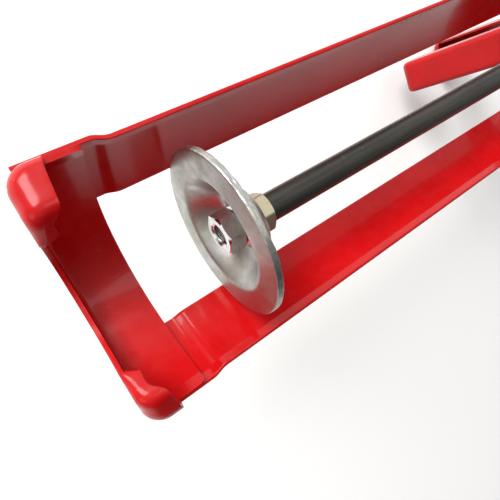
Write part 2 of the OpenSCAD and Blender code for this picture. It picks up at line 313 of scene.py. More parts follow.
@dataclass(frozen=True)
class Finish:
    """What every finish has: its slot in the record and the effects that it draws on."""

    slot: Slot
    effects: SurfaceEffects

    def start(self) -> tuple[bpy.types.Material, NodeSheet, bpy.types.Node]:
        """Makes an empty material.

        Returns:
            The material, its sheet and its Principled shader.
        """
        material = bpy.data.materials.new(self.slot.value)
        material.use_nodes = True
        material.node_tree.nodes.clear()
        sheet = NodeSheet(material.node_tree)
        shader = sheet.add("ShaderNodeBsdfPrincipled")
        sheet.add("ShaderNodeOutputMaterial", {"Surface": shader.outputs[0]})
        return material, sheet, shader

    def effect(self, sheet: NodeSheet, group: bpy.types.NodeTree, **values: object) -> bpy.types.Node:
        """Places a shared effect in a material.

        Args:
            sheet: The material's sheet.
            group: The effect's group.
            **values: Its inputs, with underscores for spaces.

        Returns:
            The group node.
        """
        inputs = {name.replace("_", " "): value for name, value in values.items()}
        node = sheet.add("ShaderNodeGroup", node_tree=group)
        for name, value in inputs.items():
            node.inputs[name].default_value = value
        return node

    def bump(
        self, sheet: NodeSheet, height: bpy.types.NodeSocket, depth: float, strength: float
    ) -> bpy.types.NodeSocket:
        """Adds a bump.

        Args:
            sheet: The material's sheet.
            height: Socket with the relief.
            depth: Height of the relief in metres.
            strength: Share of it that shows.

        Returns:
            The normal's socket.
        """
        inputs = {"Height": height, "Distance": depth, "Strength": strength}
        return sheet.add("ShaderNodeBump", inputs).outputs[0]


@dataclass(frozen=True)
class GlossPaint(Finish):
    """Glossy powder coat over pressed sheet."""

    colour: tuple[float, float, float, float] = (0.46, 0.0035, 0.005, 1.0)
    deep: tuple[float, float, float, float] = (0.39, 0.002, 0.003, 1.0)
    worn: tuple[float, float, float, float] = (0.30, 0.05, 0.045, 1.0)
    dust: tuple[float, float, float, float] = (0.62, 0.50, 0.46, 1.0)
    gloss_roughness: float = 0.20
    coat_weight: float = 0.16
    coat_roughness: float = 0.05
    specular_level: float = 0.17

    def material(self) -> bpy.types.Material:
        """Builds the paint and returns its material."""
        material, sheet, shader = self.start()
        ripple = self.effect(sheet, self.effects.grain, Density=(420.0, 420.0, 420.0), Detail=2.0)
        mottle = self.effect(sheet, self.effects.mottle, Patch_Density=45.0, Sharpness=0.1)
        wear = self.effect(sheet, self.effects.wear, Edge_Radius=0.00035, Amount=0.55, Breakup=520.0)
        dust = self.effect(sheet, self.effects.dust, Amount=0.014, Density=260.0)
        coat = sheet.mix(mottle.outputs["Patches"], self.colour, self.deep)
        chipped = sheet.mix(wear.outputs["Mask"], coat, self.worn)
        dusty = sheet.mix(dust.outputs["Mask"], chipped, self.dust)
        base = sheet.math("MULTIPLY_ADD", ripple.outputs["Tone"], 0.06, self.gloss_roughness)
        rough = sheet.math("MULTIPLY_ADD", dust.outputs["Mask"], 1.5, base)
        sheet.tree.links.new(dusty, shader.inputs["Base Color"])
        sheet.tree.links.new(rough, shader.inputs["Roughness"])
        relief = self.bump(sheet, ripple.outputs["Height"], 0.00006, 0.35)
        sheet.tree.links.new(relief, shader.inputs["Normal"])
        shader.inputs["Coat Weight"].default_value = self.coat_weight
        shader.inputs["Coat Roughness"].default_value = self.coat_roughness
        shader.inputs["Specular IOR Level"].default_value = self.specular_level
        return material


@dataclass(frozen=True)
class PlatedSteel(Finish):
    """Zinc plate over steel, bright or dull, with rolling or turning marks."""

    colour: tuple[float, float, float, float] = (0.66, 0.67, 0.68, 1.0)
    shade: tuple[float, float, float, float] = (0.36, 0.35, 0.37, 1.0)
    tint: tuple[float, float, float, float] = (0.60, 0.60, 0.56, 1.0)
    roughness: float = 0.3
    grain: tuple[float, float, float] = (250.0, 1500.0, 700.0)
    patch_density: float = 110.0
    relief_depth: float = 0.00003

    def material(self) -> bpy.types.Material:
        """Builds the plating and returns its material."""
        material, sheet, shader = self.start()
        lines = self.effect(sheet, self.effects.grain, Density=self.grain, Detail=5.0)
        mottle = self.effect(sheet, self.effects.mottle, Patch_Density=self.patch_density, Sharpness=0.35)
        wear = self.effect(sheet, self.effects.wear, Edge_Radius=0.0003, Amount=0.8, Breakup=900.0)
        clouded = sheet.mix(mottle.outputs["Patches"], self.colour, self.tint)
        lined = sheet.mix(sheet.math("MULTIPLY", lines.outputs["Tone"], 0.35), clouded, self.shade)
        specked = sheet.mix(sheet.math("MULTIPLY", mottle.outputs["Specks"], 0.5), lined, self.shade)
        polished = sheet.mix(wear.outputs["Mask"], specked, (0.80, 0.80, 0.80, 1.0))
        spread = sheet.math("MULTIPLY_ADD", mottle.outputs["Patches"], 0.14, self.roughness)
        rough = sheet.math("MULTIPLY_ADD", lines.outputs["Tone"], 0.08, spread)
        sheet.tree.links.new(polished, shader.inputs["Base Color"])
        sheet.tree.links.new(rough, shader.inputs["Roughness"])
        relief = self.bump(sheet, lines.outputs["Height"], self.relief_depth, 0.5)
        sheet.tree.links.new(relief, shader.inputs["Normal"])
        shader.inputs["Metallic"].default_value = 1.0
        return material


@dataclass(frozen=True)
class BlackCoat(Finish):
    """Satin black coat on drawn bar, rubbed a little brown along its length."""

    colour: tuple[float, float, float, float] = (0.016, 0.016, 0.014, 1.0)
    rubbed: tuple[float, float, float, float] = (0.060, 0.054, 0.040, 1.0)

    def material(self) -> bpy.types.Material:
        """Builds the coat and returns its material."""
        material, sheet, shader = self.start()
        lines = self.effect(sheet, self.effects.grain, Density=(30.0, 900.0, 900.0), Detail=4.0)
        mottle = self.effect(sheet, self.effects.mottle, Patch_Density=60.0, Sharpness=0.2)
        rub = sheet.math("MULTIPLY", lines.outputs["Tone"], 0.55)
        streaked = sheet.mix(rub, self.colour, self.rubbed)
        specked = sheet.mix(sheet.math("MULTIPLY", mottle.outputs["Specks"], 0.5), streaked, self.rubbed)
        rough = sheet.math("MULTIPLY_ADD", mottle.outputs["Patches"], 0.10, 0.27)
        sheet.tree.links.new(specked, shader.inputs["Base Color"])
        sheet.tree.links.new(rough, shader.inputs["Roughness"])
        relief = self.bump(sheet, lines.outputs["Height"], 0.00003, 0.4)
        sheet.tree.links.new(relief, shader.inputs["Normal"])
        shader.inputs["Metallic"].default_value = 0.35
        shader.inputs["Specular IOR Level"].default_value = 0.6
        return material


class Workshop:
    """Every finish of the gun, by slot."""

    def __init__(self) -> None:
        """Builds the shared effects and the materials."""
        effects = SurfaceEffects()
        finishes = [
            GlossPaint(Slot.RED_PAINT, effects),
            PlatedSteel(
                Slot.PLATE_ZINC, effects, colour=(0.50, 0.50, 0.48, 1.0), shade=(0.26, 0.24, 0.26, 1.0),
                tint=(0.42, 0.43, 0.37, 1.0), roughness=0.27, grain=(420.0, 420.0, 420.0),
            ),
            PlatedSteel(
                Slot.BRIGHT_ZINC, effects, colour=(0.86, 0.87, 0.88, 1.0), roughness=0.06,
                grain=(2200.0, 300.0, 300.0), patch_density=160.0, relief_depth=0.00001,
            ),
            PlatedSteel(Slot.ZINC_PLATE, effects, roughness=0.3, grain=(500.0, 500.0, 1600.0)),
            PlatedSteel(
                Slot.YELLOW_ZINC, effects, colour=(0.66, 0.60, 0.40, 1.0), tint=(0.62, 0.50, 0.44, 1.0),
                shade=(0.40, 0.34, 0.22, 1.0), roughness=0.26, grain=(1400.0, 400.0, 400.0),
            ),
            BlackCoat(Slot.BLACK_ROD, effects),
            PlatedSteel(
                Slot.SPRING_STEEL, effects, colour=(0.45, 0.45, 0.45, 1.0), roughness=0.3,
                grain=(900.0, 900.0, 900.0),
            ),
        ]
        self.materials = {finish.slot: finish.material() for finish in finishes}

    def dress(self, piece: bpy.types.Object, slot: Slot) -> None:
        """Gives a piece one finish.

        Args:
            piece: The mesh object.
            slot: The finish's slot.
        """
        piece.data.materials.clear()
        piece.data.materials.append(self.materials[slot])

    def mount(self, piece: bpy.types.Object, slot: Slot, body: Body, *nodes: str) -> None:
        """Dresses a new piece in its slot's finish, ties it to its body and hides the CAD nodes that it
        stands for.

        Args:
            piece: The finished piece.
            slot: Its finish.
            body: The body that it rides on.
            *nodes: CAD nodes that it replaces.
        """
        self.dress(piece, slot)
        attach(piece, body.value)
        if nodes:
            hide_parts(*nodes)
        log.info("%s: %d faces, %s, on %s", piece.name, len(piece.data.polygons), slot.value, body.value)


# ---- plane paths ----


def along(heading: float) -> Vector:
    """Unit vector at a heading in degrees."""
    return Vector((math.cos(math.radians(heading)), math.sin(math.radians(heading))))


def left_of(heading: float) -> Vector:
    """Unit vector a quarter turn to the left of a heading in degrees."""
    return along(heading + 90.0)


def smooth(u: float) -> float:
    """Smooth step from 0 to 1."""
    u = min(max(u, 0.0), 1.0)
    return u * u * (3.0 - 2.0 * u)


def rounded(corners: Sequence[tuple[float, float, float]], steps: int = 8) -> list[tuple[Vector, int]]:
    """Closed outline with a radius at each corner.

    Args:
        corners: Each corner's two coordinates and its radius.
        steps: Number of chords in each corner.

    Returns:
        The outline's points, each with the number of the corner that it belongs to.
    """
    found = []
    count = len(corners)
    for i, (x, y, radius) in enumerate(corners):
        here = Vector((x, y))
        back = (Vector(corners[i - 1][:2]) - here).normalized()
        ahead = (Vector(corners[(i + 1) % count][:2]) - here).normalized()
        half = math.acos(max(-1.0, min(1.0, back.dot(ahead)))) / 2
        centre = here + (back + ahead).normalized() * radius / math.sin(half)
        first = here + back * radius / math.tan(half) - centre
        last = here + ahead * radius / math.tan(half) - centre
        start = math.atan2(first.y, first.x)
        turn = math.remainder(math.atan2(last.y, last.x) - start, 2 * math.pi)
        for k in range(steps + 1):
            found.append((centre + radius * along(math.degrees(start + turn * k / steps)), i))
    return found


def resampled(points: Sequence[Vector], gap: float) -> list[Vector]:
    """Points with no two neighbours further apart than a gap.

    Args:
        points: An open path.
        gap: Longest step.

    Returns:
        The denser path.
    """
    path = [points[0]]
    for a, b in zip(points, points[1:]):
        pieces = max(1, math.ceil((b - a).length / gap))
        path.extend(a.lerp(b, k / pieces) for k in range(1, pieces + 1))
    return path


@dataclass(frozen=True)
class CradleProfile:
    """Half section of the cradle: a round bottom, a flatter side, and an edge that turns upright."""

    radius: float = 25.0
    side_heading: float = 38.0
    side_radius: float = 50.0
    side_end: float = 64.0
    rim_heading: float = 75.0
    rim_bend: float = 2.8
    rim: float = 2.3
    low_heading: float = 43.05
    sheet: float = 1.2
    bottom_steps: int = 16
    side_steps: int = 24
    rim_steps: int = 4

    @property
    def side_centre(self) -> Vector:
        """Centre of the side's arc."""
        return (self.radius - self.side_radius) * along(self.side_heading - 90.0)

    def side(self, off: float, low: float | None = None, lip: float | None = None) -> list[Vector]:
        """Right-hand side of the section, up to its rim.

        Args:
            off: Distance outwards from the inner face.
            low: Heading where the side starts, if not the rail's own.
            lip: Straight length of the rim, if not the rail's own.

        Returns:
            Points in Y and Z.
        """
        low = self.low_heading if low is None else low
        lip = self.rim if lip is None else lip
        centre = self.side_centre
        end = centre - self.side_radius * left_of(self.side_end)
        rim_c = end + self.rim_bend * left_of(self.side_end)
        points = [
            centre - (self.side_radius + off) * left_of(low + (self.side_end - low) * i / self.side_steps)
            for i in range(self.side_steps + 1)
        ]
        for i in range(1, self.rim_steps + 1):
            heading = self.side_end + (self.rim_heading - self.side_end) * i / self.rim_steps
            points.append(rim_c - (self.rim_bend + off) * left_of(heading))
        points.append(points[-1] + lip * along(self.rim_heading))
        return points

    def half(self, off: float, lip: float | None = None) -> list[Vector]:
        """Right-hand half of the whole section, from the middle of the bottom to the rim.

        Args:
            off: Distance outwards from the inner face.
            lip: Straight length of the rim, if not the rail's own.

        Returns:
            Points in Y and Z.
        """
        steps = self.bottom_steps
        bottom = [(self.radius + off) * along(self.side_heading * i / steps - 90.0) for i in range(steps)]
        return bottom + self.side(off, self.side_heading, lip)


def edge_round(start: Vector, end: Vector, outwards: Vector, bulge: float, steps: int = 4) -> list[Vector]:
    """Points that round a cut edge between its two faces.

    Args:
        start: End of the first face.
        end: Start of the second face.
        outwards: Unit vector out of the edge.
        bulge: How far the rounding stands out.
        steps: Number of chords.

    Returns:
        The points between start and end.
    """
    points = []
    for i in range(1, steps):
        angle = math.pi * i / steps
        share = (1 - math.cos(angle)) / 2
        points.append(start.lerp(end, share) + outwards * bulge * math.sin(angle))
    return points


# ---- meshes ----


def shade(mesh: bpy.types.Mesh, angle: float = 32.0) -> None:
    """Shades a mesh smoothly up to an angle.

    Args:
        mesh: The mesh.
        angle: Edges sharper than this many degrees stay crisp.
    """
    mesh.polygons.foreach_set("use_smooth", [True] * len(mesh.polygons))
    mesh.set_sharp_from_angle(angle=math.radians(angle))


def new_piece(
    name: str, bm: bmesh.types.BMesh, angle: float = 32.0, merge: float = 1e-6
) -> bpy.types.Object:
    """Turns a bmesh in metres into a piece with its faces outwards.

    Args:
        name: The piece's name.
        bm: The bmesh, which is freed.
        angle: Sharpest edge that is shaded smoothly, in degrees.
        merge: Distance under which points become one.

    Returns:
        The object.
    """
    bmesh.ops.remove_doubles(bm, verts=bm.verts, dist=merge)
    bmesh.ops.recalc_face_normals(bm, faces=bm.faces)
    mesh = bpy.data.meshes.new(name)
    bm.to_mesh(mesh)
    bm.free()
    shade(mesh, angle)
    piece = bpy.data.objects.new(name, mesh)
    bpy.context.scene.collection.objects.link(piece)
    return piece


def ring_tube(name: str, rings: Sequence[Sequence[Vector]], angle: float = 32.0) -> bpy.types.Object:
    """Joins rings of points into a closed piece, the last ring to the first.

    Args:
        name: The piece's name.
        rings: Rings with the same number of points, in millimetres.
        angle: Sharpest edge that is shaded smoothly, in degrees.

    Returns:
        The object.
    """
    bm = bmesh.new()
    rows = [[bm.verts.new(point * MM) for point in ring] for ring in rings]
    for a, b in zip(rows, rows[1:] + rows[:1]):
        for k in range(len(a)):
            after = (k + 1) % len(a)
            bm.faces.new((a[k], a[after], b[after], b[k]))
    return new_piece(name, bm, angle)


@dataclass(frozen=True)
class Turned:
    """A turned part: a closed profile of X and radius, spun about an axis that runs along X."""

    name: str
    profile: Sequence[tuple[float, float]]
    segments: int = 96

    def build(
        self, warp: Callable[[float, float, float], tuple[float, float]] | None = None
    ) -> bpy.types.Object:
        """Spins the profile.

        Args:
            warp: Moves a point of X, radius and angle to a new X and radius, for a rough edge.

        Returns:
            The object.
        """
        rings = []
        for x, radius in self.profile:
            ring = []
            for k in range(self.segments):
                angle = 2 * math.pi * k / self.segments
                at_x, at_r = warp(x, radius, angle) if warp else (x, radius)
                ring.append(Vector((at_x, at_r * math.cos(angle), at_r * math.sin(angle))))
            rings.append(ring)
        return ring_tube(self.name, rings)


@dataclass(frozen=True)
class Station:
    """One point of a pressing's outline."""

    at: Vector
    bend: float
    depth: float


def reflected(stations: Sequence[Station]) -> list[Station]:
    """Stations mirrored in the outline's first axis, in the opposite order."""
    return [Station(Vector((-s.at.x, s.at.y)), s.bend, s.depth) for s in reversed(stations)]


@dataclass
class Pressing:
    """A part pressed from one sheet: a flat wall, and a band that is bent back from the wall's outline."""

    name: str
    stations: list[Station]
    place: Callable[[Vector, float], Vector]
    sheet: float
    step_depth: float = 7.0
    holes: Sequence[tuple[float, float, float]] = ()
    edge_round: float = 0.3
    mirror: bool = False
    bend_rows: int = 7
    band_rows: int = 5
    hole_steps: int = 40
    evening: int = 0

    def _outwards(self) -> list[Vector]:
        """Unit vectors out of the outline, which runs anticlockwise, evened out over its corners."""
        count = len(self.stations)
        found = []
        for i in range(count):
            run = self.stations[(i + 1) % count].at - self.stations[i - 1].at
            found.append(Vector((run.y, -run.x)).normalized())
        for _ in range(self.evening):
            found = [
                (found[i - 1] + 2 * found[i] + found[(i + 1) % count]).normalized() for i in range(count)
            ]
        return found

    def _column(self, i: int, out: Vector) -> list[tuple[Vector, float]]:
        """Points of one column, from the flat wall to the band's edge, with their depths."""
        station = self.stations[i]
        if station.depth <= 0:
            return [(station.at, 0.0)]
        column = []
        for k in range(self.bend_rows + 1):
            angle = math.pi / 2 * k / self.bend_rows
            inset = station.bend * (1 - math.sin(angle))
            column.append((station.at - out * inset, station.bend * (1 - math.cos(angle))))
        near = min(station.depth, self.step_depth)
        for k in range(1, self.band_rows + 1):
            column.append((station.at, station.bend + (near - station.bend) * k / self.band_rows))
        if station.depth > self.step_depth:
            for k in range(1, self.band_rows + 1):
                far = self.step_depth + (station.depth - self.step_depth) * k / self.band_rows
                column.append((station.at, far))
        return column

    def build(self) -> bpy.types.Object:
        """Builds the sheet, gives it its thickness and rounds its cut edges.

        Returns:
            The object, with live modifiers.
        """
        bm = bmesh.new()
        columns = [
            [bm.verts.new(self.place(point, depth) * MM) for point, depth in self._column(i, out)]
            for i, out in enumerate(self._outwards())
        ]
        edges = []
        for a, b in zip(columns, columns[1:] + columns[:1]):
            edges.append(bm.edges.new((a[0], b[0])))
            for k in range(min(len(a), len(b)) - 1):
                bm.faces.new((a[k], a[k + 1], b[k + 1], b[k]))
        for x, y, radius in self.holes:
            loop = [
                bm.verts.new(self.place(Vector((x, y)) + radius * along(360 * k / self.hole_steps), 0.0) * MM)
                for k in range(self.hole_steps)
            ]
            edges.extend(bm.edges.new((loop[k - 1], loop[k])) for k in range(len(loop)))
        bmesh.ops.triangle_fill(bm, edges=edges, use_beauty=True)
        piece = new_piece(self.name, bm, 60.0, 1e-7)
        if self.mirror:
            modifier = piece.modifiers.new("other half", "MIRROR")
            modifier.use_axis = (False, True, False)
            modifier.merge_threshold = 0.00002
        modifier = piece.modifiers.new("sheet", "SOLIDIFY")
        modifier.thickness = self.sheet * MM
        modifier.offset = 0.0
        modifier.use_quality_normals = True
        soften_edges(piece, self.edge_round, 3, 50.0)
        return piece


def soften_edges(piece: bpy.types.Object, width: float, segments: int = 2, angle: float = 35.0) -> None:
    """Rounds the sharp edges of a piece with live modifiers.

    Args:
        piece: The mesh object.
        width: Width of the rounding in millimetres.
        segments: Number of faces across it.
        angle: Only edges sharper than this many degrees are rounded.
    """
    modifier = piece.modifiers.new("edges", "BEVEL")
    modifier.width = width * MM
    modifier.segments = segments
    modifier.limit_method = "ANGLE"
    modifier.angle_limit = math.radians(angle)
    modifier.harden_normals = False
    modifier = piece.modifiers.new("even faces", "WEIGHTED_NORMAL")
    modifier.keep_sharp = True


def softened_copy(node: str, name: str, width: float) -> bpy.types.Object:
    """Copies a CAD node as one merged mesh and rounds its edges.

    Args:
        node: The CAD node.
        name: The new piece's name.
        width: Width of the rounding in millimetres.

    Returns:
        The object, with live modifiers.
    """
    bm = bmesh.new()
    bm.from_mesh(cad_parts[node].data)
    bmesh.ops.remove_doubles(bm, verts=bm.verts, dist=1e-6)
    bmesh.ops.dissolve_limit(bm, angle_limit=math.radians(1.0), verts=bm.verts, edges=bm.edges)
    piece = new_piece(name, bm)
    soften_edges(piece, width)
    return piece


def node_box(node: str) -> tuple[Vector, Vector]:
    """Lowest and highest corner of a CAD node, in millimetres."""
    low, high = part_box(node)
    return Vector(low) / MM, Vector(high) / MM


# ---- geometry node trees ----


class GeometryTree:
    """A geometry node tree with named inputs, which ends in Realize Instances and Set Material."""

    GEOMETRY = "NodeSocketGeometry"
    FLOAT = "NodeSocketFloat"
    COUNT = "NodeSocketInt"
    VECTOR = "NodeSocketVector"
    MATERIAL = "NodeSocketMaterial"

    def __init__(self, name: str, inputs: Sequence[tuple[str, str]]) -> None:
        """Makes the tree and its interface.

        Args:
            name: The tree's name.
            inputs: Name and socket type of each input, besides Geometry and Material.
        """
        self.tree = bpy.data.node_groups.new(name, "GeometryNodeTree")
        self.tree.interface.new_socket(name="Geometry", in_out="INPUT", socket_type=self.GEOMETRY)
        for label, kind in [*inputs, ("Material", self.MATERIAL)]:
            self.tree.interface.new_socket(name=label, in_out="INPUT", socket_type=kind)
        self.tree.interface.new_socket(name="Geometry", in_out="OUTPUT", socket_type=self.GEOMETRY)
        self.sheet = NodeSheet(self.tree)
        self.inputs = self.sheet.add("NodeGroupInput").outputs
        self.build()

    def build(self) -> None:
        """Fills the tree; each tree has its own."""
        raise NotImplementedError

    def close(self, geometry: bpy.types.NodeSocket) -> None:
        """Ends the tree.

        Args:
            geometry: The finished geometry's socket.
        """
        real = self.sheet.add("GeometryNodeRealizeInstances", {"Geometry": geometry})
        fields = {"Geometry": real.outputs[0], "Material": self.inputs["Material"]}
        dressed = self.sheet.add("GeometryNodeSetMaterial", fields)
        self.sheet.add("NodeGroupOutput", {"Geometry": dressed.outputs[0]})

    def run(self, name: str, base: bpy.types.Mesh, angle: float, **values: object) -> bpy.types.Object:
        """Runs the tree once and keeps its result as a plain mesh.

        Args:
            name: The new piece's name.
            base: The mesh that the tree starts from.
            angle: Sharpest edge that is shaded smoothly, in degrees.
            **values: Its inputs, with underscores for spaces.

        Returns:
            The object.
        """
        carrier = bpy.data.objects.new(name + "_carrier", base)
        bpy.context.scene.collection.objects.link(carrier)
        modifier = carrier.modifiers.new("tree", "NODES")
        modifier.node_group = self.tree
        wanted = {key.replace("_", " "): value for key, value in values.items()}
        for item in self.tree.interface.items_tree:
            if item.in_out == "INPUT" and item.name in wanted:
                modifier[item.identifier] = wanted[item.name]
        graph = bpy.context.evaluated_depsgraph_get()
        made = bpy.data.meshes.new_from_object(carrier.evaluated_get(graph), depsgraph=graph)
        carrier.modifiers.remove(modifier)
        bpy.data.objects.remove(carrier)
        bm = bmesh.new()
        bm.from_mesh(made)
        bpy.data.meshes.remove(made)
        return new_piece(name, bm, angle)


class RailTree(GeometryTree):
    """Runs a closed section along X and moves it outwards at the front, where it laps the cap."""

    def __init__(self) -> None:
        """Makes the tree."""
        lengths = ["Front", "Rear", "Lap Depth", "Lap End", "Lap Blend"]
        super().__init__("pressed rail", [("Stations", self.COUNT)] + [(n, self.FLOAT) for n in lengths])

    def build(self) -> None:
        """Maps a grid onto the section's points, station by station, and closes both ends."""
        sheet, put = self.sheet, self.inputs
        section = put["Geometry"]
        size = sheet.add("GeometryNodeAttributeDomainSize", {0: section}).outputs["Point Count"]
        columns = self._whole("ADD", size, 1)
        grid_size = {"Vertices X": put["Stations"], "Vertices Y": columns, "Size X": 1.0, "Size Y": 1.0}
        grid = sheet.add("GeometryNodeMeshGrid", grid_size).outputs["Mesh"]
        index = sheet.add("GeometryNodeInputIndex").outputs[0]
        row = self._whole("DIVIDE_FLOOR", index, columns)
        spot = self._whole("MODULO", self._whole("MODULO", index, columns), size)
        last = self._whole("SUBTRACT", put["Stations"], 1)
        share = sheet.math("POWER", sheet.math("DIVIDE", row, last), 1.5)
        x = sheet.math("MULTIPLY_ADD", share, sheet.math("SUBTRACT", put["Rear"], put["Front"]), put["Front"])
        here = sheet.add("GeometryNodeInputPosition").outputs[0]
        outward = sheet.add("GeometryNodeInputNamedAttribute", {"Name": "outward"}, data_type="FLOAT_VECTOR")
        at = self._sample(section, here, spot)
        push = self._sample(section, outward.outputs[0], spot)
        skin = self._placed(grid, x, at, push)
        ends = [self._placed(section, put[end], here, outward.outputs[0]) for end in ("Front", "Rear")]
        joined = sheet.add("GeometryNodeJoinGeometry")
        for part in (skin, *ends):
            self.tree.links.new(part, joined.inputs[0])
        merged = sheet.add("GeometryNodeMergeByDistance", {"Geometry": joined.outputs[0], "Distance": 1e-6})
        self.close(merged.outputs[0])

    def _whole(self, operation: str, a: object, b: object) -> bpy.types.NodeSocket:
        """Result of a whole-number operation."""
        return self.sheet.add("FunctionNodeIntegerMath", {0: a, 1: b}, operation=operation).outputs[0]

    def _sample(self, source: object, value: object, index: object) -> bpy.types.NodeSocket:
        """Vector of one point of the section."""
        fields = {"Geometry": source, "Value": value, "Index": index}
        node = self.sheet.add("GeometryNodeSampleIndex", data_type="FLOAT_VECTOR", domain="POINT")
        for name, given in fields.items():
            self.tree.links.new(given, node.inputs[name])
        return node.outputs[0]

    def _placed(self, geometry: object, x: object, at: object, push: object) -> bpy.types.NodeSocket:
        """Geometry moved to X and pushed outwards by the lap at that X."""
        sheet, put = self.sheet, self.inputs
        lap_full = sheet.math("ADD", put["Lap End"], put["Lap Blend"])
        fields = {0: x, 1: put["Lap End"], 2: lap_full, 3: put["Lap Depth"], 4: 0.0}
        lap = sheet.add("ShaderNodeMapRange", fields, interpolation_type="SMOOTHSTEP").outputs[0]
        shift = sheet.add("ShaderNodeCombineXYZ", {0: x}).outputs[0]
        moved = sheet.vector("ADD", at, shift).outputs[0]
        reach = sheet.add("ShaderNodeCombineXYZ", {0: lap, 1: lap, 2: lap}).outputs[0]
        pushed = sheet.vector("MULTIPLY", push, reach)
        place = sheet.vector("ADD", moved, pushed.outputs[0]).outputs[0]
        return sheet.add("GeometryNodeSetPosition", {"Geometry": geometry, "Position": place}).outputs[0]


class CoilTree(GeometryTree):
    """Winds round wire along X, with its end turns drawn together."""

    def __init__(self) -> None:
        """Makes the tree."""
        lengths = ["Turns", "Coil Radius", "Wire Radius", "Length", "Start", "Closed Ends"]
        super().__init__("wound coil", [(name, self.FLOAT) for name in lengths])

    def build(self) -> None:
        """Winds a spiral, draws its ends together and runs the wire's section along it."""
        sheet, put = self.sheet, self.inputs
        spiral = sheet.add("GeometryNodeCurveSpiral", {
            "Resolution": 28, "Rotations": put["Turns"], "Start Radius": put["Coil Radius"],
            "End Radius": put["Coil Radius"], "Height": put["Length"],
        })
        here = sheet.add("ShaderNodeSeparateXYZ", {0: sheet.add("GeometryNodeInputPosition").outputs[0]})
        share = sheet.math("DIVIDE", here.outputs["Z"], put["Length"])
        wave = sheet.math("SINE", sheet.math("MULTIPLY", share, 2 * math.pi))
        pull = sheet.math("MULTIPLY", put["Closed Ends"], put["Length"])
        drawn = sheet.math("MULTIPLY", wave, sheet.math("DIVIDE", pull, 2 * math.pi))
        height = sheet.math("SUBTRACT", here.outputs["Z"], drawn)
        x = sheet.math("ADD", height, put["Start"])
        place = sheet.add("ShaderNodeCombineXYZ", {0: x, 1: here.outputs["X"], 2: here.outputs["Y"]})
        laid = sheet.add(
            "GeometryNodeSetPosition", {"Geometry": spiral.outputs[0], "Position": place.outputs[0]})
        wire = sheet.add("GeometryNodeCurvePrimitiveCircle", {"Resolution": 12, "Radius": put["Wire Radius"]})
        body = sheet.add("GeometryNodeCurveToMesh", {
            "Curve": laid.outputs[0], "Profile Curve": wire.outputs[0], "Fill Caps": True})
        self.close(body.outputs[0])


class BarTree(GeometryTree):
    """Runs a round bar along a path whose points carry their own radius."""

    def __init__(self) -> None:
        """Makes the tree."""
        super().__init__("bar along a path", [("Sides", self.COUNT)])

    def build(self) -> None:
        """Turns the path's edges into a curve and runs a circle along it."""
        sheet, put = self.sheet, self.inputs
        curve = sheet.add("GeometryNodeMeshToCurve", {"Mesh": put["Geometry"]}).outputs[0]
        radius = sheet.add("GeometryNodeInputNamedAttribute", {"Name": "bar_radius"}, data_type="FLOAT")
        section = sheet.add("GeometryNodeCurvePrimitiveCircle", {"Resolution": put["Sides"], "Radius": 1.0})
        fields = {
            "Curve": curve, "Profile Curve": section.outputs[0], "Scale": radius.outputs[0],
            "Fill Caps": True,
        }
        self.close(sheet.add("GeometryNodeCurveToMesh", fields).outputs[0])


class RivetTree(GeometryTree):
    """Sets a domed head on every point, along the direction that the point carries."""

    def __init__(self) -> None:
        """Makes the tree."""
        super().__init__("rivet heads", [("Head Radius", self.FLOAT), ("Head Height", self.FLOAT)])

    def build(self) -> None:
        """Flattens a sphere into a dome and places it on the points."""
        sheet, put = self.sheet, self.inputs
        ball = sheet.add("GeometryNodeMeshUVSphere", {"Segments": 28, "Rings": 14, "Radius": 1.0})
        size = sheet.add(
            "ShaderNodeCombineXYZ", {0: put["Head Radius"], 1: put["Head Radius"], 2: put["Head Height"]})
        dome = sheet.add("GeometryNodeTransform", {"Geometry": ball.outputs[0], "Scale": size.outputs[0]})
        way = sheet.add("GeometryNodeInputNamedAttribute", {"Name": "way"}, data_type="FLOAT_VECTOR")
        turn = sheet.add("FunctionNodeAlignRotationToVector", {"Vector": way.outputs[0]}, axis="Z")
        heads = sheet.add("GeometryNodeInstanceOnPoints", {
            "Points": put["Geometry"], "Instance": dome.outputs[0], "Rotation": turn.outputs[0]})
        self.close(heads.outputs[0])


def tagged_mesh(
    name: str, points: Sequence[Vector], tags: dict[str, list], edges: Sequence[tuple[int, int]] = (),
    faces: Sequence[list[int]] = (),
) -> bpy.types.Mesh:
    """Makes the small mesh that a tree starts from.

    Args:
        name: The mesh's name.
        points: Points in millimetres.
        tags: Values for each point, by attribute name: numbers or vectors.
        edges: Pairs of point numbers.
        faces: Lists of point numbers.

    Returns:
        The mesh, in metres.
    """
    mesh = bpy.data.meshes.new(name)
    mesh.from_pydata([Vector(p) * MM for p in points], edges, faces)
    for label, values in tags.items():
        if isinstance(values[0], float):
            mesh.attributes.new(label, "FLOAT", "POINT").data.foreach_set("value", values)
        else:
            flat = [part for value in values for part in value]
            mesh.attributes.new(label, "FLOAT_VECTOR", "POINT").data.foreach_set("vector", flat)
    return mesh


@dataclass
class Trees:
    """The geometry node trees, each built once."""

    rail: RailTree = field(default_factory=RailTree)
    coil: CoilTree = field(default_factory=CoilTree)
    bar: BarTree = field(default_factory=BarTree)
    rivets: RivetTree = field(default_factory=RivetTree)


# ---- the gun ----


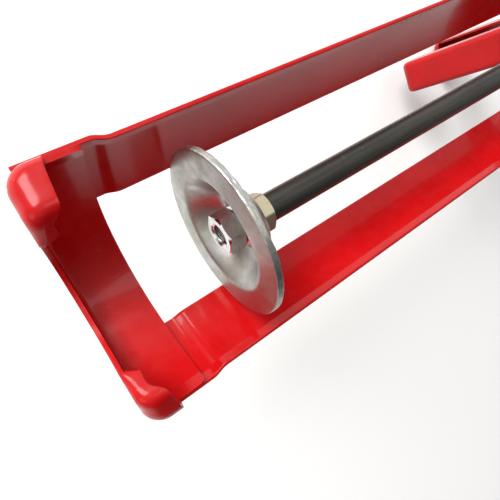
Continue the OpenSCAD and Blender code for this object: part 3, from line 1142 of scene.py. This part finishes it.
@dataclass
class Cradle:
    """The open frame that holds the cartridge: front cap, two rails and rear cup."""

    workshop: Workshop
    trees: Trees
    profile: CradleProfile = CradleProfile()
    lap_gap: float = 0.05
    lap_end: float = 17.8
    lap_blend: float = 4.2
    cap_rim: float = 3.4
    wall: float = 1.2
    notch: float = 16.5
    ear: Sequence[tuple[float, float, float, float]] = (
        (31.75, 2.30, 5.0, 7.6), (31.45, 3.20, 5.0, 7.5), (30.85, 4.05, 4.8, 7.3), (29.9, 4.75, 4.4, 7.0),
        (28.6, 5.35, 4.0, 6.8), (26.6, 6.25, 3.9, 6.5), (25.1, 6.95, 3.8, 6.3), (24.1, 7.35, 3.7, 6.1),
        (23.2, 7.45, 3.6, 6.0), (22.4, 7.25, 3.2, 5.6), (21.6, 6.75, 2.7, 4.7), (20.9, 6.15, 2.3, 3.7),
        (20.2, 5.45, 2.0, 3.1), (19.3, 4.35, 1.8, 3.0), (18.4, 3.25, 1.5, 3.2), (17.8, 2.55, 1.2, 3.2),
        (17.3, 1.95, 0.8, 1.8), (16.95, 1.45, 0.5, 0.9), (16.6, 0.9, 0.3, 0.4),
    )
    lip_round: float = 1.3
    cut_bulge: float = 0.28
    cup_skirt: float = 13.0
    cup_sheet: float = 1.5
    rivet_height: float = 1.35
    rivet_headings: tuple[float, float] = (49.0, 61.0)

    def build(self) -> None:
        """Builds and dresses the cradle."""
        self._front_cap()
        for hand in Hand:
            self._rail(hand)
        self._rear_cup()
        self._rivets()

    def _rail(self, hand: Hand) -> None:
        """Presses one rail: a closed section with rounded edges, run along X."""
        profile = self.profile
        lap = profile.sheet + self.lap_gap
        node = f"rail_{hand.name.lower()}"
        low, high = node_box(node)

        def ring(shift: float) -> list[Vector]:
            inner = profile.side(shift)
            outer = profile.side(shift + profile.sheet)
            tip = edge_round(inner[-1], outer[-1], along(profile.rim_heading), self.cut_bulge)
            foot = edge_round(outer[0], inner[0], -along(profile.low_heading), self.cut_bulge)
            return inner + tip + outer[::-1] + foot

        rest, lapped = ring(0.0), ring(lap)
        points = [Vector((0.0, hand.value * p.x, p.y)) for p in rest]
        pushes = [(0.0, hand.value * (q.x - p.x) / lap, (q.y - p.y) / lap) for p, q in zip(rest, lapped)]
        base = tagged_mesh(node, points, {"outward": pushes}, faces=[list(range(len(points)))])
        piece = self.trees.rail.run(
            node + "_pressed", base, 40.0, Stations=150, Front=low.x * MM, Rear=high.x * MM,
            Lap_Depth=lap * MM, Lap_End=self.lap_end * MM, Lap_Blend=self.lap_blend * MM,
        )
        soften_edges(piece, 0.25, 2, 60.0)
        self.workshop.mount(piece, Slot.RED_PAINT, Body.FRAME, node)

    def _cap_outline(self) -> list[Station]:
        """Right-hand half of the cap's outline, from the bottom up to the notch."""
        low, high = node_box("front_cap")
        full = high.x - low.x - self.wall / 2
        leg = resampled(self.profile.half(self.profile.sheet / 2, self.cap_rim), 0.6)
        stations = []
        for i, point in enumerate(leg):
            to_rim = (leg[-1] - point).length
            cut_back = max(0.0, self.lip_round - to_rim) if i > len(leg) / 2 else 0.0
            depth = full - self.lip_round + math.sqrt(self.lip_round**2 - cut_back**2)
            stations.append(Station(point, 2.0 + 3.0 * smooth((point.y + 12.0) / 10.0), depth))
        over = [Vector((y, z)) for y, z, _, _ in self.ear]
        levels = [(bend, depth) for _, _, bend, depth in self.ear]
        for (a, b), (low_level, high_level) in zip(zip(over, over[1:]), zip(levels, levels[1:])):
            pieces = max(1, math.ceil((b - a).length / 0.4))
            for k in range(pieces):
                share = k / pieces
                bend = low_level[0] + (high_level[0] - low_level[0]) * share
                reach = low_level[1] + (high_level[1] - low_level[1]) * share
                stations.append(Station(a.lerp(b, share), bend, max(reach + self.wall / 2, bend + 0.1)))
        stations.append(Station(over[-1], 0.0, 0.0))
        return stations

    def _front_cap(self) -> None:
        """Presses the front cap: a notched wall with a band round it and a roof over each ear."""
        right = self._cap_outline()
        left = reflected(right[1:])
        outline = right + notch_between(right[-1].at, left[0].at, self.notch, 48) + left
        piece = Pressing(
            "front_cap_pressed", outline, lambda p, h: Vector((h - self.wall / 2, p.x, p.y)), self.wall,
            step_depth=8.2, evening=60, bend_rows=10,
        ).build()
        self.workshop.mount(piece, Slot.RED_PAINT, Body.FRAME, "front_cap")

    def _rear_cup(self) -> None:
        """Presses the rear cup, whose skirt holds the rails' rear ends."""
        _, high = node_box("rear_cup")
        wall_x = high.x - self.cup_sheet / 2
        off = self.profile.sheet + self.lap_gap + self.cup_sheet / 2
        side = resampled(self.profile.half(off), 1.5)
        rim, top = side[-1], high.z - 0.05
        centre_z = (top * top - rim.x * rim.x - rim.y * rim.y) / (2 * (top - rim.y))
        start = math.degrees(math.atan2(rim.y - centre_z, rim.x))
        dome = [
            Vector((0.0, centre_z)) + (top - centre_z) * along(start + (90.0 - start) * i / 30)
            for i in range(1, 31)
        ]
        right = [Station(p, 1.8, self.cup_skirt) for p in side] + [Station(p, 0.0, 0.0) for p in dome]
        stations = right + reflected(right[1:-1])
        bush_low, bush_high = node_box("collar_bush")
        hole = (bush_high.y - bush_low.y) / 2 - 3.0
        piece = Pressing(
            "rear_cup_pressed", stations, lambda p, h: Vector((wall_x - h, p.x, p.y)), self.cup_sheet,
            holes=[(0.0, 0.0, hole)],
        ).build()
        self.workshop.mount(piece, Slot.RED_PAINT, Body.FRAME, "rear_cup")

    def _rivets(self) -> None:
        """Sets the rivets that hold the rails in the rear cup."""
        low, high = node_box("frame_rivets")
        middle = (low.x + high.x) / 2
        head = (high.x - low.x) / 2
        points, ways = [], []
        centre = self.profile.side_centre
        seats = ((self.profile.side_radius - 0.1, -1.0), (self.profile.side_radius + 2.85, 1.0))
        for hand in Hand:
            for heading in self.rivet_headings:
                out = along(heading - 90.0)
                way = Vector((0.0, hand.value * out.x, out.y))
                for radius, sign in seats:
                    place = centre + radius * out
                    points.append(Vector((middle, hand.value * place.x, place.y)))
                    ways.append(tuple(way * sign))
        base = tagged_mesh("rivet_points", points, {"way": ways})
        piece = self.trees.rivets.run(
            "frame_rivet_heads", base, 40.0, Head_Radius=head * MM, Head_Height=self.rivet_height * MM)
        self.workshop.mount(piece, Slot.ZINC_PLATE, Body.FRAME, "frame_rivets")


def notch_between(first: Vector, last: Vector, radius: float, steps: int) -> list[Station]:
    """Cut edge of a round notch, from its right-hand end round the bottom to its left-hand end.

    Args:
        first: The right-hand end.
        last: The left-hand end.
        radius: The notch's radius.
        steps: Number of chords.

    Returns:
        The stations between the two ends, with no band.
    """
    start = math.degrees(math.atan2(first.y, first.x))
    end = math.degrees(math.atan2(last.y, last.x)) - 360.0
    return [
        Station(radius * along(start + (end - start) * k / steps), 0.0, 0.0) for k in range(1, steps)
    ]


@dataclass(frozen=True)
class HexNut:
    """A hexagon nut along X with chamfered corners and a countersunk thread."""

    name: str
    low_x: float
    high_x: float
    across_flats: float
    bore: float
    turn: float
    corner_round: float = 0.12
    face_share: float = 0.95
    chamfer_angle: float = 28.0
    countersink: float = 0.45
    crisp_angle: float = 22.0
    segments: int = 180

    def _hex_radius(self, angle: float) -> float:
        """Distance from the axis to the flats at an angle in degrees, with slightly rounded corners."""
        off = math.remainder(angle - self.turn, 60.0)
        flat = self.across_flats / 2
        plain = flat / math.cos(math.radians(30.0 - abs(off)))
        limit = flat / math.cos(math.radians(30.0)) - self.corner_round
        return min(plain, limit)

    def build(self) -> bpy.types.Object:
        """Builds the nut and returns the object."""
        face_r = self.across_flats / 2 * self.face_share
        slope = math.tan(math.radians(self.chamfer_angle))
        sink = self.countersink
        thickness = self.high_x - self.low_x

        def ring(spot: Callable[[float], tuple[float, float]]) -> list[Vector]:
            points = []
            for k in range(self.segments):
                angle = 360.0 * k / self.segments
                x, radius = spot(angle)
                side = along(angle) * radius
                points.append(Vector((self.low_x + x, side.x, side.y)))
            return points

        def chamfer(angle: float) -> float:
            return (self._hex_radius(angle) - face_r) * slope

        spots = (
            lambda a: (thickness - sink, self.bore),
            lambda a: (sink, self.bore),
            lambda a: (0.0, self.bore + sink),
            lambda a: (0.0, face_r),
            lambda a: (chamfer(a), self._hex_radius(a)),
            lambda a: (thickness - chamfer(a), self._hex_radius(a)),
            lambda a: (thickness, face_r),
            lambda a: (thickness, self.bore + sink),
        )
        return ring_tube(self.name, [ring(spot) for spot in spots], self.crisp_angle)


@dataclass
class PushRod:
    """The rod with its push plate, its nuts and its hook."""

    workshop: Workshop
    trees: Trees
    hook_bend: float = 10.0
    thread_pitch: float = 1.0
    thread_core: float = 2.65
    thread_chamfer: float = 0.55
    plate_hole: float = 3.2
    nut_flats: float = 10.0
    jam_flats: float = 11.0
    plate_sheet: float = 1.6
    dish_outer: float = 16.4
    dish_floor: float = 8.2
    burr: float = 0.30
    seed: float = 4.3

    def build(self) -> None:
        """Builds and dresses the rod's pieces."""
        self._rod()
        self._thread()
        self._plate()
        self._nuts()

    def _rod(self) -> None:
        """Draws the bar: a turned-down end, a straight run and a bent hook with a domed tip."""
        low, high = node_box("push_rod")
        _, nut_high = node_box("rear_nut")
        radius = (high.y - low.y) / 2
        core = self.thread_core
        shoulder = nut_high.x + 0.05
        bend_c = Vector((high.x - radius - self.hook_bend, 0.0, -self.hook_bend))
        path = [
            (low.x, core - self.thread_chamfer), (low.x + 0.5, core), (shoulder - 0.6, core),
            (shoulder - 0.4, core - 0.1), (shoulder, core), (shoulder, radius - 0.45),
            (shoulder + 0.45, radius),
        ]
        points = [Vector((x, 0.0, 0.0)) for x, _ in path]
        radii = [r for _, r in path]
        points[5] = Vector((shoulder + 0.01, 0.0, 0.0))
        for x in range(int(shoulder) + 8, int(bend_c.x), 8):
            points.append(Vector((float(x), 0.0, 0.0)))
            radii.append(radius)
        for k in range(17):
            side = along(90.0 - 90.0 * k / 16) * self.hook_bend
            points.append(bend_c + Vector((side.x, 0.0, side.y)))
            radii.append(radius)
        tip = low.z + radius
        tip_x = bend_c.x + self.hook_bend
        for z in (-self.hook_bend - 6.0, -self.hook_bend - 14.0):
            points.append(Vector((tip_x, 0.0, z)))
            radii.append(radius)
        for k in range(9):
            fall = along(90.0 * k / 9)
            points.append(Vector((tip_x, 0.0, tip - radius * fall.y)))
            radii.append(radius * fall.x)
        edges = [(i, i + 1) for i in range(len(points) - 1)]
        base = tagged_mesh("rod_path", points, {"bar_radius": [r * MM for r in radii]}, edges)
        piece = self.trees.bar.run("push_rod_bar", base, 35.0, Sides=64)
        self.workshop.mount(piece, Slot.BLACK_ROD, Body.ROD, "push_rod")

    def _thread(self) -> None:
        """Winds the thread's ridge on the turned-down end, and the nut's own thread in its mouth."""
        low, _ = node_box("push_rod")
        face, _ = node_box("front_nut")
        _, end = node_box("rear_nut")
        run = end.x - low.x - 1.4
        base = tagged_mesh("thread_start", [Vector((0.0, 0.0, 0.0))], {})
        ridge = self.trees.coil.run(
            "rod_thread", base, 60.0, Turns=run / self.thread_pitch, Coil_Radius=2.62 * MM,
            Wire_Radius=0.36 * MM, Length=run * MM, Start=(low.x + 0.7) * MM, Closed_Ends=0.0,
        )
        self.workshop.mount(ridge, Slot.BRIGHT_ZINC, Body.ROD)
        mouth = self.trees.coil.run(
            "nut_thread", base.copy(), 60.0, Turns=1.4, Coil_Radius=3.0 * MM, Wire_Radius=0.26 * MM,
            Length=1.0 * MM, Start=(face.x + 0.45) * MM, Closed_Ends=0.0,
        )
        self.workshop.mount(mouth, Slot.BRIGHT_ZINC, Body.ROD)

    def _plate(self) -> None:
        """Presses the dished plate, with the rough edge that shearing leaves."""
        low, high = node_box("push_plate")
        rim_x, radius = low.x, (high.y - low.y) / 2
        floor = high.x - self.plate_sheet
        hole = self.plate_hole

        def front(r: float) -> float:
            if r >= self.dish_outer:
                return rim_x
            down = (self.dish_outer - r) / (self.dish_outer - self.dish_floor)
            return rim_x + (floor - rim_x) * smooth(down)

        radii = [hole] + [self.dish_floor + (radius - 0.5 - self.dish_floor) * k / 40 for k in range(41)]
        face = [(front(r) + (0.0 if r > hole else 0.1), r) for r in radii]
        edge = [(rim_x + 0.05, radius - 0.22), (rim_x + 0.2, radius - 0.06)]
        edge += [(rim_x + self.plate_sheet * k / 8, radius) for k in range(2, 8)]
        edge += [(rim_x + self.plate_sheet, radius - 0.05)]
        back = [(front(r) + self.plate_sheet, r) for r in reversed(radii)]

        def rough(x: float, r: float, angle: float) -> tuple[float, float]:
            spot = Vector((math.cos(angle), math.sin(angle), 0.0))
            wobble = 0.12 * noise.noise(spot * 1.6 + Vector((self.seed, 0.0, r * 0.04)))
            share = max(0.0, (r - (radius - 0.6)) / 0.6)
            torn = noise.noise(spot * 26.0 + Vector((0.0, 0.0, self.seed + x * 1.8)))
            chip = noise.noise(spot * 7.0 + Vector((0.0, self.seed, x * 0.7)))
            depth_share = smooth((x - rim_x) / self.plate_sheet)
            lift = self.burr * share * depth_share * (torn + 0.8 * chip)
            return x + wobble * share * 0.6 + lift * 0.8, r - share * (0.10 + 0.09 * torn + 0.08 * chip)

        piece = Turned("push_plate_pressed", face + edge + back, 360).build(rough)
        self.workshop.mount(piece, Slot.PLATE_ZINC, Body.ROD, "push_plate")

    def _nuts(self) -> None:
        """Makes the three nuts."""
        for node, flats, turn, slot in (
            ("front_nut", self.nut_flats, 38.0, Slot.BRIGHT_ZINC),
            ("jam_nut", self.jam_flats, 24.0, Slot.BRIGHT_ZINC),
            ("rear_nut", self.nut_flats, 32.0, Slot.YELLOW_ZINC),
        ):
            low, high = node_box(node)
            bore = 2.95 if node == "front_nut" else 2.9
            piece = HexNut(node + "_hex", low.x, high.x, flats, bore, turn).build()
            self.workshop.mount(piece, slot, Body.ROD, node)


@dataclass
class Handle:
    """Body and grip, trigger, brake lever and what holds them together."""

    workshop: Workshop
    trees: Trees
    sheet: float = 1.2
    body_fold: float = 2.6
    trigger_sheet: float = 1.4
    trigger_fold: float = 2.2
    run_step: float = 3.0
    corner_steps: int = 10

    def build(self) -> None:
        """Builds and dresses the handle's pieces."""
        self._body()
        self._trigger()
        self._softened()
        self._springs()
        self._heads()

    def _channel(
        self, name: str, corners: Sequence[tuple[float, float, float]], closed: set[int], width: float,
        bend: float, sheet: float,
    ) -> bpy.types.Object:
        """Folds a channel: two side walls joined by a spine along part of their outline.

        Args:
            name: The piece's name.
            corners: Side outline of X, Z and corner radius, anticlockwise.
            closed: Numbers of the corners whose edge carries the spine.
            width: Width over the side walls.
            bend: Radius of the fold at the middle of the sheet.
            sheet: Thickness of the sheet.

        Returns:
            The object.
        """
        half = width / 2 - sheet / 2
        found = rounded(corners, self.corner_steps)
        points: list[Station] = []
        for i, (point, corner) in enumerate(found):
            after, next_corner = found[(i + 1) % len(found)]
            carried = corner in closed
            span = carried and next_corner in closed
            pieces = max(1, math.ceil((after - point).length / self.run_step))
            points.append(Station(point, bend if carried else 0.0, half if carried else 0.0))
            for k in range(1, pieces):
                between = point.lerp(after, k / pieces)
                points.append(Station(between, bend if span else 0.0, half if span else 0.0))
        area = sum(
            a.at.x * b.at.y - b.at.x * a.at.y for a, b in zip(points, points[1:] + points[:1]))
        if area < 0:
            points.reverse()
        return Pressing(
            name, points, lambda p, h: Vector((p.x, h - half, p.y)), sheet, step_depth=half, mirror=True,
        ).build()

    def _body(self) -> None:
        """Folds the body and its grip from one sheet."""
        low, high = node_box("handle_body")
        inset = self.sheet / 2
        front = low.x + inset
        corners = [
            (front, 15.0 - inset, 3.4), (288.5, 16.0 - inset, 3.4), (290.4, 4.0, 3.0), (302.4, 1.0, 5.4),
            (300.9, -20.0, 8.4), (312.4, -62.0, 60.0), (326.2, -119.6, 8.4), (301.3, -127.15, 7.4),
            (292.6, -72.0, 60.0), (281.6, -38.6, 9.6), (256.2, -36.4, 6.4), (front, -19.6, 4.4),
        ]
        closed = {0, 1, 4, 5, 6, 7, 11}
        piece = self._channel(
            "handle_body_folded", corners, closed, high.y - low.y, self.body_fold, self.sheet)
        self.workshop.mount(piece, Slot.RED_PAINT, Body.FRAME, "handle_body")

    def _trigger(self) -> None:
        """Folds the trigger: a channel whose side walls rise as tangs behind the drive plates."""
        low, high = node_box("trigger")
        corners = [
            (265.9, -8.7, 1.2), (273.5, -8.7, 2.6), (277.3, -27.0, 6.0), (274.3, -42.0, 14.0),
            (265.3, -76.0, 50.0), (262.4, -106.6, 6.4), (255.0, -113.3, 4.6), (244.7, -107.7, 6.4),
            (250.7, -76.0, 50.0), (257.7, -42.0, 14.0), (262.6, -27.6, 4.0), (265.9, -17.4, 1.6),
        ]
        piece = self._channel(
            "trigger_folded", corners, {6, 7, 8, 9}, high.y - low.y, self.trigger_fold, self.trigger_sheet)
        self.workshop.mount(piece, Slot.RED_PAINT, Body.TRIGGER, "trigger")

    def _softened(self) -> None:
        """Rounds the edges of the flat and turned fittings."""
        fittings = [
            ("brake_lever", Body.BRAKE, Slot.ZINC_PLATE, 0.5),
            ("drive_plate_front", Body.DRIVE, Slot.ZINC_PLATE, 0.35),
            ("drive_plate_rear", Body.DRIVE, Slot.ZINC_PLATE, 0.35),
            ("rear_guide", Body.FRAME, Slot.ZINC_PLATE, 0.3),
            ("collar_bush", Body.FRAME, Slot.ZINC_PLATE, 0.6),
            ("collar_nut", Body.FRAME, Slot.ZINC_PLATE, 0.2),
            ("trigger_pin", Body.FRAME, Slot.ZINC_PLATE, 0.3),
            ("trigger_clip", Body.FRAME, Slot.SPRING_STEEL, 0.15),
        ]
        for node, body, slot, width in fittings:
            self.workshop.mount(softened_copy(node, node + "_fitting", width), slot, body, node)

    def _springs(self) -> None:
        """Winds the main spring and the brake spring."""
        for node, turns, wire, joint, keep in (
            ("main_spring", 6.5, 0.65, "trigger_pull", 0.62),
            ("brake_spring", 4.0, 0.5, "brake_release", 0.8),
        ):
            low, high = node_box(node)
            radius = (high.z - low.z) / 2 - wire
            base = tagged_mesh(node + "_start", [Vector((0.0, 0.0, 0.0))], {})
            length = high.x - low.x - 2 * wire
            piece = self.trees.coil.run(
                node + "_wound", base, 60.0, Turns=turns, Coil_Radius=radius * MM, Wire_Radius=wire * MM,
                Length=length * MM, Start=(low.x + wire) * MM, Closed_Ends=0.55,
            )
            self.workshop.mount(piece, Slot.SPRING_STEEL, Body.FRAME, node)
            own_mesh(piece)

    def _heads(self) -> None:
        """Sets the heads of the guide plate's rivets and of the brake lever's pin."""
        _, body_high = node_box("handle_body")
        for node, places, radius, height in (
            ("guide_rivets", ((280.5, -12.0), (280.5, 9.0)), 3.0, 1.1),
            ("brake_pin", ((296.0, -13.0),), 3.2, 1.2),
        ):
            points, ways = [], []
            for hand in Hand:
                for x, z in places:
                    points.append(Vector((x, hand.value * body_high.y, z)))
                    ways.append((0.0, float(hand.value), 0.0))
            base = tagged_mesh(node + "_points", points, {"way": ways})
            piece = self.trees.rivets.run(
                node + "_heads", base, 40.0, Head_Radius=radius * MM, Head_Height=height * MM)
            nodes = [node] if node == "guide_rivets" else []
            self.workshop.mount(piece, Slot.ZINC_PLATE, Body.FRAME, *nodes)
        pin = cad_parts["brake_pin"]
        self.workshop.dress(pin, Slot.ZINC_PLATE)


@dataclass
class Studio:
    """Floor, lights and camera."""

    lens: float = 28.99
    eye: tuple[float, float, float] = (1.32, 26.18, 91.30)
    azimuth: float = -40.107
    elevation: float = -60.231
    roll: float = 102.879
    floor_gap: float = 0.3
    floor_half_metres: float = 12.0
    floor_glow: float = 0.11
    world_low: float = 0.06
    world_high: float = 1.05

    def build(self) -> None:
        """Sets up the studio."""
        self._camera()
        self._floor()
        self._world()
        self._light("key", (-420.0, 980.0, 640.0), 700.0, 20.0)
        self._light("front", (-900.0, -100.0, 420.0), 500.0, 1.0)
        self._light("top", (220.0, 160.0, 900.0), 380.0, 1.0)
        bpy.context.scene.view_settings.view_transform = "Standard"

    def _camera(self) -> None:
        """Stands the camera over the front of the cradle, rolled as a hand holds it."""
        camera = bpy.data.cameras.new("camera")
        camera.lens = self.lens
        camera.sensor_width = 36.0
        camera.clip_start = 0.005
        level = along(self.azimuth) * math.cos(math.radians(self.elevation))
        view = Vector((level.x, level.y, math.sin(math.radians(self.elevation))))
        side = view.cross(Vector((0.0, 0.0, 1.0))).normalized()
        rise = side.cross(view)
        turn = along(self.roll)
        right = side * turn.x + rise * turn.y
        up = rise * turn.x - side * turn.y
        stand = bpy.data.objects.new("camera", camera)
        stand.matrix_world = Matrix.Translation(Vector(self.eye) * MM) @ Matrix(
            (right, up, -view)).transposed().to_4x4()
        bpy.context.scene.collection.objects.link(stand)
        bpy.context.scene.camera = stand

    def _floor(self) -> None:
        """Lays a plain pale floor just under the object."""
        lowest = CAD_BOX[0][2] - self.floor_gap * MM
        bm = bmesh.new()
        bmesh.ops.create_grid(bm, x_segments=1, y_segments=1, size=self.floor_half_metres)
        bmesh.ops.translate(bm, verts=bm.verts, vec=(0.0, 0.0, lowest))
        floor = new_piece("floor", bm)
        material = bpy.data.materials.new("floor")
        material.use_nodes = True
        shader = material.node_tree.nodes["Principled BSDF"]
        shader.inputs["Base Color"].default_value = (0.92, 0.915, 0.90, 1.0)
        shader.inputs["Roughness"].default_value = 0.6
        shader.inputs["Emission Color"].default_value = (1.0, 0.995, 0.985, 1.0)
        shader.inputs["Emission Strength"].default_value = self.floor_glow
        floor.data.materials.append(material)

    def _world(self) -> None:
        """Fills the studio with even light."""
        world = bpy.data.worlds.new("studio")
        world.use_nodes = True
        sheet = NodeSheet(world.node_tree)
        place = sheet.add("ShaderNodeTexCoord").outputs["Generated"]
        across = sheet.add("ShaderNodeSeparateXYZ", {0: place}).outputs["Y"]
        level = sheet.ramp(across, -1.0, 1.0, self.world_low, self.world_high)
        background = world.node_tree.nodes["Background"]
        background.inputs["Color"].default_value = (1.0, 0.995, 0.985, 1.0)
        world.node_tree.links.new(level, background.inputs["Strength"])
        bpy.context.scene.world = world

    def _light(self, name: str, at: tuple[float, float, float], size: float, power: float) -> None:
        """Hangs a square soft light that faces the cradle.

        Args:
            name: The light's name.
            at: Its place in millimetres.
            size: Its side in millimetres.
            power: Its power in watts.
        """
        data = bpy.data.lights.new(name, "AREA")
        data.size = size * MM
        data.energy = power
        lamp = bpy.data.objects.new(name, data)
        lamp.location = Vector(at) * MM
        aim = Vector((60.0, 0.0, 0.0)) * MM - lamp.location
        lamp.rotation_euler = aim.to_track_quat("-Z", "Y").to_euler()
        bpy.context.scene.collection.objects.link(lamp)


def main() -> None:
    """Builds the gun piece by piece, and the studio round it."""
    logging.basicConfig(level=logging.INFO, format="%(name)s: %(message)s")
    workshop = Workshop()
    trees = Trees()
    Studio().build()
    for assembly in (Cradle(workshop, trees), PushRod(workshop, trees), Handle(workshop, trees)):
        log.info("building the %s", type(assembly).__name__)
        assembly.build()


if __name__ == "__main__":
    main()
